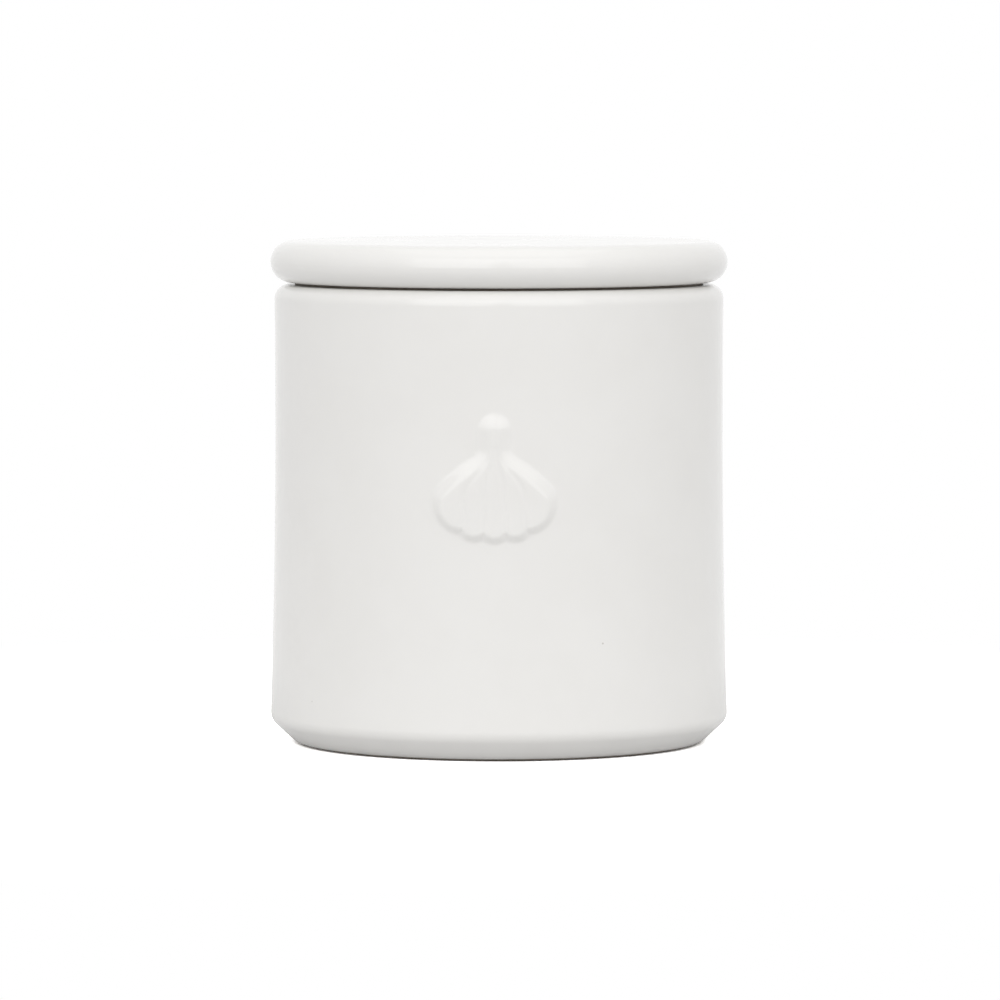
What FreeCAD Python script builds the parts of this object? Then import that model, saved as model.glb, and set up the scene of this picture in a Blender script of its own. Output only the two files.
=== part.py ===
import FreeCAD, Part
import math
import os
import re

import Sketcher

# Garlic keeper: a stoneware jar with a raised garlic bulb, a flat lid and the soft ring between them.
# Millimetres, +Z up, the front towards -Y, the origin on the floor at the middle of the foot.

SIZES = [
    ("jar_height", 110.5, "from the foot to the rim"),
    ("rim_radius", 54.0, "outside of the wall at the rim"),
    ("waist_flare", 0.25, "wall at its waist, out from the rim"),
    ("waist_height", 44.0, "height of the waist, where the wall begins to flare"),
    ("base_flare", 1.3, "wall at the bevel, out from the rim, before rounding"),
    ("wall_thickness", 6.0, "wall at the rim"),
    ("floor_thickness", 6.0, "clay between the foot recess and the inside"),
    ("inner_corner_radius", 6.0, "where the inside wall meets the floor"),
    ("rim_round_outer", 3.5, "outer rounding of the rim"),
    ("rim_round_inner", 1.0, "inner rounding of the rim"),
    ("bevel_height", 5.8, "bevel above the foot"),
    ("bevel_width", 6.4, "bevel in from the wall"),
    ("bevel_round", 3.5, "rounding between wall and bevel"),
    ("foot_round", 4.5, "rounding between bevel and foot"),
    ("foot_ring_width", 4.6, "bare clay ring that the jar stands on, before rounding"),
    ("foot_recess_depth", 1.5, "recess inside the foot ring"),
    ("foot_recess_round", 1.0, "rounding at the top of the foot recess"),
    ("vent_radius", 3.0, "one air hole"),
    ("vent_edge_round", 0.7, "rounding of an air hole's edges"),
    ("vent_pitch_angle", 12.0, "turn from one air hole to the next, in degrees"),
    ("vent_row_height", 64.0, "height of the lower row of air holes"),
    ("vent_row_gap", 10.0, "from the lower row to the upper row"),
    ("vents_in_lower_row", 4, "air holes in the lower row"),
    ("vents_in_upper_row", 5, "air holes in the upper row"),
    ("bulb_bottom", 52.2, "height of the raised bulb's lowest point"),
    ("bulb_height", 28.2, "raised bulb from the middle clove's tip to the stem's top"),
    ("bulb_width", 27.4, "raised bulb across its widest place"),
    ("bulb_widest_height", 9.0, "widest place above the bulb's lowest point"),
    ("bulb_neck_height", 21.6, "foot of the stem above the bulb's lowest point"),
    ("bulb_relief", 0.8, "how far the bulb stands out of the wall"),
    ("bulb_edge_round", 0.4, "rounding of the raised bulb's edge"),
    ("stem_width", 4.8, "stem across"),
    ("clove_width", 5.2, "one of the three inner cloves across, at the bulb's underside"),
    ("clove_tip_radius", 4.2, "underside of an inner clove"),
    ("clove_notch", 0.9, "the middle clove's notches above the bulb's lowest point"),
    ("clove_step", 1.1, "outer notches above those of the middle clove"),
    ("outer_clove_radius", 6.3, "outer clove, from its notch to the widest place"),
    ("shoulder_turn_radius", 3.0, "turn from the widest place into the shoulder"),
    ("shoulder_turn_width", 25.8, "bulb across where that turn ends"),
    ("shoulder_turn_height", 11.2, "that place above the bulb's lowest point"),
    ("shoulder_radius", 36.0, "swell of the bulb's shoulder"),
    ("shoulder_top_width", 8.8, "bulb across where the shoulder turns into the neck"),
    ("shoulder_top_height", 18.2, "that place above the bulb's lowest point"),
    ("neck_radius", 4.2, "hollow between the shoulder and the stem"),
    ("lid_overhang", 1.0, "lid out from the rim"),
    ("lid_thickness", 9.9, "lid at its edge, which is a full round"),
    ("lid_recess_depth", 2.4, "recess inside the locating ring, up into the lid"),
    ("lid_recess_round", 2.0, "rounding at the top of the recess"),
    ("lid_ring_depth", 9.0, "locating ring below the lid's underside"),
    ("lid_ring_width", 6.3, "locating ring from its outside to the recess"),
    ("lid_ring_clearance", 1.2, "locating ring clear of the mouth, all round"),
    ("lid_ring_round", 1.2, "rounding at the bottom of the locating ring"),
    ("seal_groove_depth", 1.5, "groove in the locating ring that holds the seal"),
    ("seal_flange_thickness", 0.5, "seal between the rim and the lid"),
    ("seal_flange_inset", 1.3, "seal's flange in from the edge of the rim's flat top"),
    ("seal_sleeve_height", 6.0, "seal's sleeve below the flange"),
    ("seal_sleeve_thickness", 1.3, "seal's sleeve, between its ribs"),
    ("seal_ribs", 2, "ribs round the sleeve"),
    ("seal_rib_height", 1.4, "one rib at its root, along the sleeve"),
    ("seal_rib_pitch", 2.0, "from one rib to the next"),
    ("seal_clearance", 0.3, "seal clear of the mouth and of its groove"),
]

STEP_FOLDER = "parts"
NEAR = 1e-4


def fill_sheet(doc):
    sheet = doc.addObject("Spreadsheet::Sheet", "Sizes")
    for row, (name, value, meaning) in enumerate(SIZES, start=1):
        sheet.set(f"A{row}", str(value))
        sheet.setAlias(f"A{row}", name)
        sheet.set(f"B{row}", meaning)
    doc.recompute()
    return sheet


def bound(expression):
    """The same expression with each size's name pointing at its cell."""
    names = "|".join(name for name, value, meaning in SIZES)
    return re.sub(rf"\b({names})\b", r"Sizes.\1", expression)


def bind(thing, field, expression):
    thing.setExpression(field, bound(expression))


def value_of(sheet, expression):
    return float(sheet.evalExpression(expression))


# Sketching


def origin_plane(body, role):
    return next(part for part in body.Origin.OriginFeatures if part.Role == role)


def new_sketch(body, name, role="XZ_Plane"):
    sketch = body.newObject("Sketcher::SketchObject", name)
    sketch.AttachmentSupport = (origin_plane(body, role), [""])
    sketch.MapMode = "FlatFace"
    return sketch


def arc_between(start, end, radius):
    """The shorter arc; it turns left on its way when the radius is positive, and right when negative."""
    if radius < 0:
        start, end = end, start
    chord = end - start
    half = chord.Length / 2
    left = FreeCAD.Vector(-chord.y, chord.x, 0).normalize()
    centre = (start + end) / 2 + left * math.sqrt(max(radius**2 - half**2, 0))
    first = math.atan2(start.y - centre.y, start.x - centre.x)
    turned = 2 * math.asin(min(half / abs(radius), 1))
    circle = Part.Circle(centre, FreeCAD.Vector(0, 0, 1), abs(radius))
    return Part.ArcOfCircle(circle, first, first + turned)


def place_corner(sheet, sketch, edge, end, x, y):
    """Ties one end of an edge to its place, in expressions of the sheet's sizes."""
    if (x, y) == ("0", "0"):
        sketch.addConstraint(Sketcher.Constraint("Coincident", edge, end, -1, 1))
        return
    for kind, axis, expression in (("DistanceX", -2, x), ("DistanceY", -1, y)):
        if expression == "0":
            sketch.addConstraint(Sketcher.Constraint("PointOnObject", edge, end, axis))
            continue
        value = value_of(sheet, expression)
        number = sketch.addConstraint(Sketcher.Constraint(kind, -1, 1, edge, end, value))
        bind(sketch, f"Constraints[{number}]", expression)


def draw_outline(sheet, sketch, corners):
    """A closed outline. A corner is (x, y, radius): the radius is that of the arc to the next corner,
    with a minus sign where it turns right, and an empty text where a straight line goes on."""
    points = [FreeCAD.Vector(value_of(sheet, x), value_of(sheet, y), 0) for x, y, radius in corners]
    for index, (x, y, radius) in enumerate(corners):
        start, end = points[index], points[(index + 1) % len(points)]
        if radius:
            sketch.addGeometry(arc_between(start, end, value_of(sheet, radius)), False)
        else:
            sketch.addGeometry(Part.LineSegment(start, end), False)
    ends = []
    for index, point in enumerate(points):
        forward = (sketch.Geometry[index].StartPoint - point).Length < NEAR
        ends.append((1, 2) if forward else (2, 1))
    for index, (x, y, radius) in enumerate(corners):
        following = (index + 1) % len(corners)
        joined = (index, ends[index][1], following, ends[following][0])
        sketch.addConstraint(Sketcher.Constraint("Coincident", *joined))
        place_corner(sheet, sketch, index, ends[index][0], x, y)
        if radius:
            number = sketch.addConstraint(Sketcher.Constraint("Radius", index, abs(value_of(sheet, radius))))
            bind(sketch, f"Constraints[{number}]", f"abs({radius})")


def turned_body(doc, sheet, name, corners):
    """A body turned about the upright axis from half of its section."""
    body = doc.addObject("PartDesign::Body", name)
    section = new_sketch(body, f"{name}_section")
    draw_outline(sheet, section, corners)
    turned = body.newObject("PartDesign::Revolution", f"{name}_turned")
    turned.Profile = (section, [""])
    turned.ReferenceAxis = (section, ["V_Axis"])
    turned.Angle = 360
    section.Visibility = False
    doc.recompute()
    return body


def ring_edge(sheet, shape, radius, height):
    """The name of the round edge of this radius at this height."""
    wanted_radius = value_of(sheet, radius)
    wanted_height = value_of(sheet, height)
    for number, edge in enumerate(shape.Edges, start=1):
        curve = edge.Curve
        if not isinstance(curve, Part.Circle):
            continue
        if abs(curve.Radius - wanted_radius) < NEAR and abs(curve.Center.z - wanted_height) < NEAR:
            return f"Edge{number}"
    raise ValueError(f"no round edge of radius {radius} at height {height}")


def round_edges(doc, body, name, edges, radius):
    base = body.Tip
    rounded = body.newObject("PartDesign::Fillet", name)
    rounded.Base = (base, edges)
    bind(rounded, "Radius", radius)
    doc.recompute()


# The jar

WAIST_RADIUS = "(rim_radius + waist_flare)"
BASE_RADIUS = "(rim_radius + base_flare)"
MOUTH_RADIUS = "(rim_radius - wall_thickness)"
FOOT_RADIUS = f"{BASE_RADIUS} - bevel_width"
FOOT_RECESS_RADIUS = f"{FOOT_RADIUS} - foot_ring_width"
INSIDE_FLOOR = "foot_recess_depth + floor_thickness"


def turn_jar(doc, sheet):
    body = turned_body(doc, sheet, "jar_shell", [
        ("0", "foot_recess_depth", ""),
        (FOOT_RECESS_RADIUS, "foot_recess_depth", ""),
        (FOOT_RECESS_RADIUS, "0", ""),
        (FOOT_RADIUS, "0", ""),
        (BASE_RADIUS, "bevel_height", ""),
        (WAIST_RADIUS, "waist_height", ""),
        ("rim_radius", "jar_height", ""),
        (MOUTH_RADIUS, "jar_height", ""),
        (MOUTH_RADIUS, INSIDE_FLOOR, ""),
        ("0", INSIDE_FLOOR, ""),
    ])
    for name, radius, height, rounding in (
        ("rim_outside", "rim_radius", "jar_height", "rim_round_outer"),
        ("rim_inside", MOUTH_RADIUS, "jar_height", "rim_round_inner"),
        ("inside_corner", MOUTH_RADIUS, INSIDE_FLOOR, "inner_corner_radius"),
        ("bevel_top", BASE_RADIUS, "bevel_height", "bevel_round"),
        ("foot_outside", FOOT_RADIUS, "0", "foot_round"),
        ("foot_inside", FOOT_RECESS_RADIUS, "0", "foot_recess_round"),
        ("foot_recess_top", FOOT_RECESS_RADIUS, "foot_recess_depth", "foot_recess_round"),
    ):
        edge = ring_edge(sheet, body.Tip.Shape, radius, height)
        round_edges(doc, body, name, [edge], rounding)
    return body


def cut_vent_row(doc, body, name, height, count):
    """One row of air holes through the back wall, spread evenly about the middle of the back."""
    outline = new_sketch(body, f"{name}_outline")
    turn = FreeCAD.Rotation(FreeCAD.Vector(0, 1, 0), 1)
    outline.AttachmentOffset = FreeCAD.Placement(FreeCAD.Vector(0, 0, 0), turn)
    bind(outline, "AttachmentOffset.Rotation.Angle", f"-({count} - 1) / 2 * vent_pitch_angle")
    centre = FreeCAD.Vector(0, 1, 0)
    outline.addGeometry(Part.Circle(centre, FreeCAD.Vector(0, 0, 1), 1), False)
    outline.addConstraint(Sketcher.Constraint("PointOnObject", 0, 3, -2))
    number = outline.addConstraint(Sketcher.Constraint("DistanceY", -1, 1, 0, 3, 1))
    bind(outline, f"Constraints[{number}]", height)
    number = outline.addConstraint(Sketcher.Constraint("Radius", 0, 1))
    bind(outline, f"Constraints[{number}]", "vent_radius")
    hole = body.newObject("PartDesign::Pocket", f"{name}_hole")
    hole.Profile = (outline, [""])
    bind(hole, "Length", BASE_RADIUS)
    outline.Visibility = False
    doc.recompute()
    row = body.newObject("PartDesign::PolarPattern", f"{name}_row")
    row.Originals = [hole]
    row.Axis = (outline, ["V_Axis"])
    row.Reversed = False
    bind(row, "Angle", f"({count} - 1) * vent_pitch_angle")
    bind(row, "Occurrences", count)
    body.Tip = row
    doc.recompute()


def round_vents(doc, body):
    """Rounds both edges of every air hole, inside and outside the wall."""
    edges = []
    for number, edge in enumerate(body.Tip.Shape.Edges, start=1):
        behind = edge.CenterOfMass.y > 0
        if behind and isinstance(edge.Curve, Part.BSplineCurve):
            edges.append(f"Edge{number}")
    round_edges(doc, body, "vent_edges", edges, "vent_edge_round")


# The raised bulb

MID_WALL_RADIUS = "(rim_radius - wall_thickness / 2)"
STEM_HALF = "stem_width / 2"
STEM_TOP = "bulb_bottom + bulb_height"
RIGHT_OUTLINE = [
    ("0", "bulb_bottom", "clove_tip_radius"),
    ("clove_width / 2", "bulb_bottom + clove_notch", "clove_tip_radius"),
    ("clove_width * 3 / 2", "bulb_bottom + clove_notch + clove_step", "outer_clove_radius"),
    ("bulb_width / 2", "bulb_bottom + bulb_widest_height", "shoulder_turn_radius"),
    ("shoulder_turn_width / 2", "bulb_bottom + shoulder_turn_height", "shoulder_radius"),
    ("shoulder_top_width / 2", "bulb_bottom + shoulder_top_height", "-neck_radius"),
    (STEM_HALF, "bulb_bottom + bulb_neck_height", ""),
    (STEM_HALF, f"{STEM_TOP} - {STEM_HALF}", STEM_HALF),
]


def bulb_outline():
    """The right half as listed, the stem's tip, and the left half as its mirror image."""
    corners = RIGHT_OUTLINE + [("0", STEM_TOP, STEM_HALF)]
    mirrored = RIGHT_OUTLINE[::-1]
    for index, (x, y, radius) in enumerate(mirrored[:-1]):
        corners.append((f"-({x})", y, mirrored[index + 1][2]))
    return corners


def press_bulb(doc, sheet):
    """The bulb's outline carried through a skin that lies just outside the wall."""
    prism = doc.addObject("PartDesign::Body", "bulb_prism")
    outline = new_sketch(prism, "bulb_outline")
    draw_outline(sheet, outline, bulb_outline())
    pad = prism.newObject("PartDesign::Pad", "bulb_pad")
    pad.Profile = (outline, [""])
    bind(pad, "Length", f"{BASE_RADIUS} + bulb_relief")
    outline.Visibility = False
    skin = turned_body(doc, sheet, "bulb_skin", [
        (MID_WALL_RADIUS, "bevel_height", ""),
        (f"{BASE_RADIUS} + bulb_relief", "bevel_height", ""),
        (f"{WAIST_RADIUS} + bulb_relief", "waist_height", ""),
        ("rim_radius + bulb_relief", "jar_height", ""),
        (MID_WALL_RADIUS, "jar_height", ""),
    ])
    bulb = doc.addObject("Part::Common", "raised_bulb")
    bulb.Base = prism
    bulb.Tool = skin
    doc.recompute()
    front = min(bulb.Shape.Faces, key=lambda face: face.CenterOfMass.y)
    radius = value_of(sheet, "bulb_edge_round")
    softened = doc.addObject("Part::Fillet", "softened_bulb")
    softened.Base = bulb
    softened.Edges = [(number, radius, radius) for number, edge in enumerate(bulb.Shape.Edges, start=1)
                      if any(edge.isSame(rim) for rim in front.Edges)]
    doc.recompute()
    return softened


def join_jar(doc, shell, bulb):
    jar = doc.addObject("Part::Fuse", "jar_with_bulb")
    jar.Base = shell
    jar.Tool = bulb
    jar.Label = "jar"
    doc.recompute()
    return jar


# The lid

LID_UNDERSIDE = "jar_height + seal_flange_thickness"
LID_TOP = f"{LID_UNDERSIDE} + lid_thickness"
LID_RADIUS = "(rim_radius + lid_overhang)"
LID_FLAT_RADIUS = f"{LID_RADIUS} - lid_thickness / 2"
LID_RECESS_TOP = f"{LID_UNDERSIDE} + lid_recess_depth"
RING_RADIUS = f"{MOUTH_RADIUS} - lid_ring_clearance"
RECESS_RADIUS = f"{RING_RADIUS} - lid_ring_width"
RING_BOTTOM = f"{LID_UNDERSIDE} - lid_ring_depth"
GROOVE_RADIUS = f"{RING_RADIUS} - seal_groove_depth"
SLEEVE_BOTTOM = f"{LID_UNDERSIDE} - seal_sleeve_height"
GROOVE_BOTTOM = f"{SLEEVE_BOTTOM} - seal_clearance"


def turn_lid(doc, sheet):
    lid = turned_body(doc, sheet, "lid", [
        ("0", LID_RECESS_TOP, ""),
        (RECESS_RADIUS, LID_RECESS_TOP, ""),
        (RECESS_RADIUS, RING_BOTTOM, ""),
        (RING_RADIUS, RING_BOTTOM, ""),
        (RING_RADIUS, GROOVE_BOTTOM, ""),
        (GROOVE_RADIUS, GROOVE_BOTTOM, ""),
        (GROOVE_RADIUS, LID_UNDERSIDE, ""),
        (LID_FLAT_RADIUS, LID_UNDERSIDE, "lid_thickness / 2"),
        (LID_RADIUS, f"{LID_UNDERSIDE} + lid_thickness / 2", "lid_thickness / 2"),
        (LID_FLAT_RADIUS, LID_TOP, ""),
        ("0", LID_TOP, ""),
    ])
    for name, radius, height, rounding in (
        ("ring_outside", RING_RADIUS, RING_BOTTOM, "lid_ring_round"),
        ("ring_inside", RECESS_RADIUS, RING_BOTTOM, "lid_ring_round"),
        ("lid_recess_corner", RECESS_RADIUS, LID_RECESS_TOP, "lid_recess_round"),
    ):
        edge = ring_edge(sheet, lid.Tip.Shape, radius, height)
        round_edges(doc, lid, name, [edge], rounding)
    return lid


# The seal

SLEEVE_INSIDE = f"{GROOVE_RADIUS} + seal_clearance"
SLEEVE_OUTSIDE = f"{SLEEVE_INSIDE} + seal_sleeve_thickness"
RIB_RADIUS = f"{MOUTH_RADIUS} - seal_clearance"
FLANGE_RADIUS = "(rim_radius - rim_round_outer - seal_flange_inset)"
FLANGE_ROUND = "seal_flange_thickness / 2"


def rib_corners(number):
    """The three corners of one rib, from its lower root to its upper one."""
    middle = f"{SLEEVE_BOTTOM} + seal_rib_pitch * ({number} + 0.5)"
    return [
        (SLEEVE_OUTSIDE, f"{middle} - seal_rib_height / 2", ""),
        (RIB_RADIUS, middle, ""),
        (SLEEVE_OUTSIDE, f"{middle} + seal_rib_height / 2", ""),
    ]


def mould_seal(doc, sheet):
    corners = [
        (SLEEVE_INSIDE, LID_UNDERSIDE, ""),
        (SLEEVE_INSIDE, SLEEVE_BOTTOM, ""),
        (SLEEVE_OUTSIDE, SLEEVE_BOTTOM, ""),
    ]
    for number in range(round(value_of(sheet, "seal_ribs"))):
        corners += rib_corners(number)
    corners += [
        (SLEEVE_OUTSIDE, "jar_height", ""),
        (f"{FLANGE_RADIUS} - {FLANGE_ROUND}", "jar_height", FLANGE_ROUND),
        (FLANGE_RADIUS, f"jar_height + {FLANGE_ROUND}", FLANGE_ROUND),
        (f"{FLANGE_RADIUS} - {FLANGE_ROUND}", LID_UNDERSIDE, ""),
    ]
    return turned_body(doc, sheet, "lid_seal", corners)


# The whole keeper


def make_jar(doc, sheet):
    shell = turn_jar(doc, sheet)
    cut_vent_row(doc, shell, "lower_vents", "vent_row_height", "vents_in_lower_row")
    cut_vent_row(doc, shell, "upper_vents", "vent_row_height + vent_row_gap", "vents_in_upper_row")
    round_vents(doc, shell)
    return join_jar(doc, shell, press_bulb(doc, sheet))


def check_features(doc):
    for feature in doc.Objects:
        if "Invalid" in feature.State or "Error" in feature.State:
            raise ValueError(f"{feature.Label} could not be made: {feature.State}")


def write_piece(piece):
    shape = piece.Shape
    if shape.isNull() or not shape.isValid() or len(shape.Solids) != 1:
        raise ValueError(f"{piece.Label} is not one sound solid")
    shape.exportStep(os.path.join(STEP_FOLDER, f"{piece.Label}.step"))
    print(f"{piece.Label}: {shape.Volume:.0f} cubic mm")


def main():
    os.makedirs(STEP_FOLDER, exist_ok=True)
    doc = FreeCAD.newDocument("garlic_keeper")
    sheet = fill_sheet(doc)
    pieces = [make_jar(doc, sheet), turn_lid(doc, sheet), mould_seal(doc, sheet)]
    check_features(doc)
    for piece in pieces:
        write_piece(piece)


main()
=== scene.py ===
import math

import bpy
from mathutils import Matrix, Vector


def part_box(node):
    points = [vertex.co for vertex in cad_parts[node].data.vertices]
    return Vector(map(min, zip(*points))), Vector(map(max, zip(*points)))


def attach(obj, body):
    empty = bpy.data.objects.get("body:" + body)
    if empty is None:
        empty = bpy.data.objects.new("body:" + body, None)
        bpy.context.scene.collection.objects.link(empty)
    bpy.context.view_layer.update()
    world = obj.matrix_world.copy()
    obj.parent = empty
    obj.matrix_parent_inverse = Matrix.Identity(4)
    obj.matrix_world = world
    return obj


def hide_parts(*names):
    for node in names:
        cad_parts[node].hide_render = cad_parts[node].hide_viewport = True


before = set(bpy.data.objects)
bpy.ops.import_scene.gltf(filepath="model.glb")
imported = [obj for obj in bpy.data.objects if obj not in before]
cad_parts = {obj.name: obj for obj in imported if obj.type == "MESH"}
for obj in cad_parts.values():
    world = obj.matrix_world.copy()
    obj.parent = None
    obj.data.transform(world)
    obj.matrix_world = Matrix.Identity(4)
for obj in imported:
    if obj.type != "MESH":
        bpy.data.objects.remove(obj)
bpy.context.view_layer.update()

# A garlic keeper of white glazed stoneware: a jar with a raised garlic bulb on its front and air holes
# in its back wall, a flat lid, and the soft seal that the lid rests on. Its axis is Z, its front is -Y.
# Sizes are in millimetres, and in degrees for angles, up to the place where a mesh is made.

MM = 0.001
DEGREE = math.pi / 180

# Sizes that the frame gives

RIM_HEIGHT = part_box("jar")[1].z / MM
RING_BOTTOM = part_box("lid")[0].z / MM
LID_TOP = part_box("lid")[1].z / MM
LID_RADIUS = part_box("lid")[1].x / MM
SLEEVE_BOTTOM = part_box("lid_seal")[0].z / MM
LID_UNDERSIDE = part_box("lid_seal")[1].z / MM
FLANGE_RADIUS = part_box("lid_seal")[1].x / MM

# The jar

RIM_RADIUS = 54.1
BASE_RADIUS = 55.2
WALL_HOLLOW = 0.6
MOUTH_RADIUS = 48.0
INSIDE_FLOOR = 7.5
INSIDE_CORNER_ROUND = 6.0
RIM_OUTER_ROUND = 3.5
RIM_INNER_ROUND = 1.0
BEVEL_HEIGHT = 5.8
BEVEL_ROUND = 3.5
FOOT_RADIUS = 48.9
FOOT_ROUND = 4.5
FOOT_RECESS_RADIUS = 44.3
FOOT_RECESS_DEPTH = 1.5
FOOT_RECESS_ROUND = 0.7

# The air holes, each in a cell of the wall as wide as the pitch and as tall as the gap between rows

VENT_RADIUS = 3.0
VENT_LIP_ROUND = 0.7
VENT_PITCH = 12.0
VENT_ROWS = ((64.0, 4), (74.0, 5))
VENT_ROW_GAP = 10.0
CELL_COLUMNS = 6
CELL_ROWS = 28

# The raised bulb, above its lowest point

BULB_BOTTOM = 52.2
BULB_HEIGHT = 28.2
BULB_WIDEST = (13.7, 9.0)
BULB_RELIEF = 0.95
BULB_UPPER_EDGE = 4.0
BULB_LOWER_EDGE = 2.3
STEM_HALF_WIDTH = 2.4
STEM_FOOT = 21.6
CLOVE_WIDTH = 5.2
CLOVE_NOTCH = 1.2
CLOVE_STEP = 1.0
CLOVE_TIP_ROUND = 3.5
OUTER_CLOVE_ROUND = 6.2
SHOULDER_TURN = (12.9, 11.2)
SHOULDER_TURN_ROUND = 3.0
SHOULDER_TOP = (4.4, 18.2)
SHOULDER_ROUND = 36.0
NECK_ROUND = 4.2
CLOVE_SEAM_DEPTH = 0.1
CLOVE_SEAM_WIDTH = 1.1
CLOVE_SEAM_SWELL = 1.8

# The lid and its seal. A full-round edge keeps a little flat between its two roundings.

LEAST_FLAT = 0.02
LID_RECESS_TOP = LID_UNDERSIDE + 2.4
LID_RECESS_ROUND = 2.0
LID_RECESS_RADIUS = 40.5
LID_RING_RADIUS = 46.8
LID_RING_ROUND = 1.2
GROOVE_RADIUS = 45.3
GROOVE_BOTTOM = SLEEVE_BOTTOM - 0.3
GROOVE_ROUND = 0.25
LID_EDGE_ROUND = (LID_TOP - LID_UNDERSIDE - LEAST_FLAT) / 2
SLEEVE_INSIDE = 45.6
SLEEVE_OUTSIDE = 46.9
RIB_RADIUS = 47.7
RIB_HEIGHT = 1.4
RIB_PITCH = 2.0
RIB_COUNT = 2
RIB_FOOT_ROUND = 0.1
SLEEVE_ROUND = 0.2
SEAL_EDGE_ROUND = (LID_UNDERSIDE - RIM_HEIGHT - LEAST_FLAT) / 2

# How finely the turned pieces are divided, and how near points are joined or lie on the outline

FINE_STEP = 0.3
FINE_COLUMNS = 120
JAR_COARSE_COLUMNS = 162
LID_COLUMNS = 240
ROUND_STEP = 7.5
SHOULDER_RUN = 0.35
LONGEST_RUN = 8.0
WALL_RUN = 3.0
WELD = 0.002
ON_OUTLINE = 0.02
JUST_INSIDE = 0.99


# Sections


def arc_about(centre, start, end, steps):
    """Points of the shorter arc about a centre, both ends included."""
    spoke, last = start - centre, end - centre
    turn = math.atan2(spoke.x * last.y - spoke.y * last.x, spoke.dot(last))
    points = []
    for step in range(steps + 1):
        swing = turn * step / steps
        along = Vector((spoke.x, spoke.y)) * math.cos(swing)
        points.append(centre + along + Vector((-spoke.y, spoke.x)) * math.sin(swing))
    return points


def rounded_corner(before, corner, after, radius):
    """The arc that rounds a corner, in steps of the same turn."""
    back = (before - corner).normalized()
    on = (after - corner).normalized()
    half = back.angle(on) / 2
    centre = corner + (back + on).normalized() * radius / math.sin(half)
    reach = radius / math.tan(half)
    steps = max(3, math.ceil((math.pi - 2 * half) / (ROUND_STEP * DEGREE)))
    return arc_about(centre, corner + back * reach, corner + on * reach, steps)


def divided_run(start, end, start_is_round, end_is_round):
    """The points after the start of a straight run, with one close to each rounding that it meets."""
    run = end - start
    marks = [0.0, 1.0]
    if run.length > 3 * SHOULDER_RUN:
        if start_is_round:
            marks.insert(1, SHOULDER_RUN / run.length)
        if end_is_round:
            marks.insert(-1, 1 - SHOULDER_RUN / run.length)
    points = []
    for low, high in zip(marks, marks[1:]):
        parts = max(1, math.ceil((high - low) * run.length / LONGEST_RUN))
        points += [start + run * (low + (high - low) * part / parts) for part in range(1, parts + 1)]
    return points


def section(corners):
    """Half a section, as (radius, height) points, from corners of (radius, height, rounding)."""
    places = [Vector(corner[:2]) for corner in corners]
    stretches = []
    for index, (place, corner) in enumerate(zip(places, corners)):
        if corner[2]:
            stretches.append(rounded_corner(places[index - 1], place, places[index + 1], corner[2]))
        else:
            stretches.append([place])
    points = list(stretches[0])
    for before, after in zip(stretches, stretches[1:]):
        points += divided_run(before[-1], after[0], len(before) > 1, len(after) > 1)
        points += after[1:]
    return points


def wall_radius(height):
    """The outside of the jar's wall, which draws in to a slight hollow."""
    share = (height - BEVEL_HEIGHT) / (RIM_HEIGHT - BEVEL_HEIGHT)
    return BASE_RADIUS + (RIM_RADIUS - BASE_RADIUS) * share - 4 * WALL_HOLLOW * share * (1 - share)


def even_heights(low, high, longest):
    parts = math.ceil((high - low) / longest - 1e-6)
    return [low + (high - low) * part / parts for part in range(parts + 1)]


def jar_section():
    cells_bottom = VENT_ROWS[0][0] - VENT_ROW_GAP / 2
    cells_top = VENT_ROWS[-1][0] + VENT_ROW_GAP / 2
    fine_row = VENT_ROW_GAP / CELL_ROWS
    edge = BULB_UPPER_EDGE / 2
    below = math.ceil((cells_bottom - BULB_BOTTOM + edge) / fine_row) * fine_row
    above = math.ceil((BULB_BOTTOM + BULB_HEIGHT + edge - cells_top) / fine_row) * fine_row
    outside = even_heights(BEVEL_HEIGHT + BEVEL_ROUND, cells_bottom - below, WALL_RUN)
    outside += even_heights(cells_bottom - below, cells_top + above, fine_row)[1:]
    outside += even_heights(cells_top + above, RIM_HEIGHT - RIM_OUTER_ROUND - SHOULDER_RUN, WALL_RUN)[1:]
    inside = even_heights(cells_bottom, cells_top, fine_row)
    return section(
        [
            (0, FOOT_RECESS_DEPTH, 0),
            (FOOT_RECESS_RADIUS, FOOT_RECESS_DEPTH, FOOT_RECESS_ROUND),
            (FOOT_RECESS_RADIUS, 0, FOOT_RECESS_ROUND),
            (FOOT_RADIUS, 0, FOOT_ROUND),
            (BASE_RADIUS, BEVEL_HEIGHT, BEVEL_ROUND),
        ]
        + [(wall_radius(height), height, 0) for height in outside]
        + [
            (RIM_RADIUS, RIM_HEIGHT, RIM_OUTER_ROUND),
            (MOUTH_RADIUS, RIM_HEIGHT, RIM_INNER_ROUND),
        ]
        + [(MOUTH_RADIUS, height, 0) for height in reversed(inside)]
        + [
            (MOUTH_RADIUS, INSIDE_FLOOR, INSIDE_CORNER_ROUND),
            (0, INSIDE_FLOOR, 0),
        ]
    )


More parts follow.
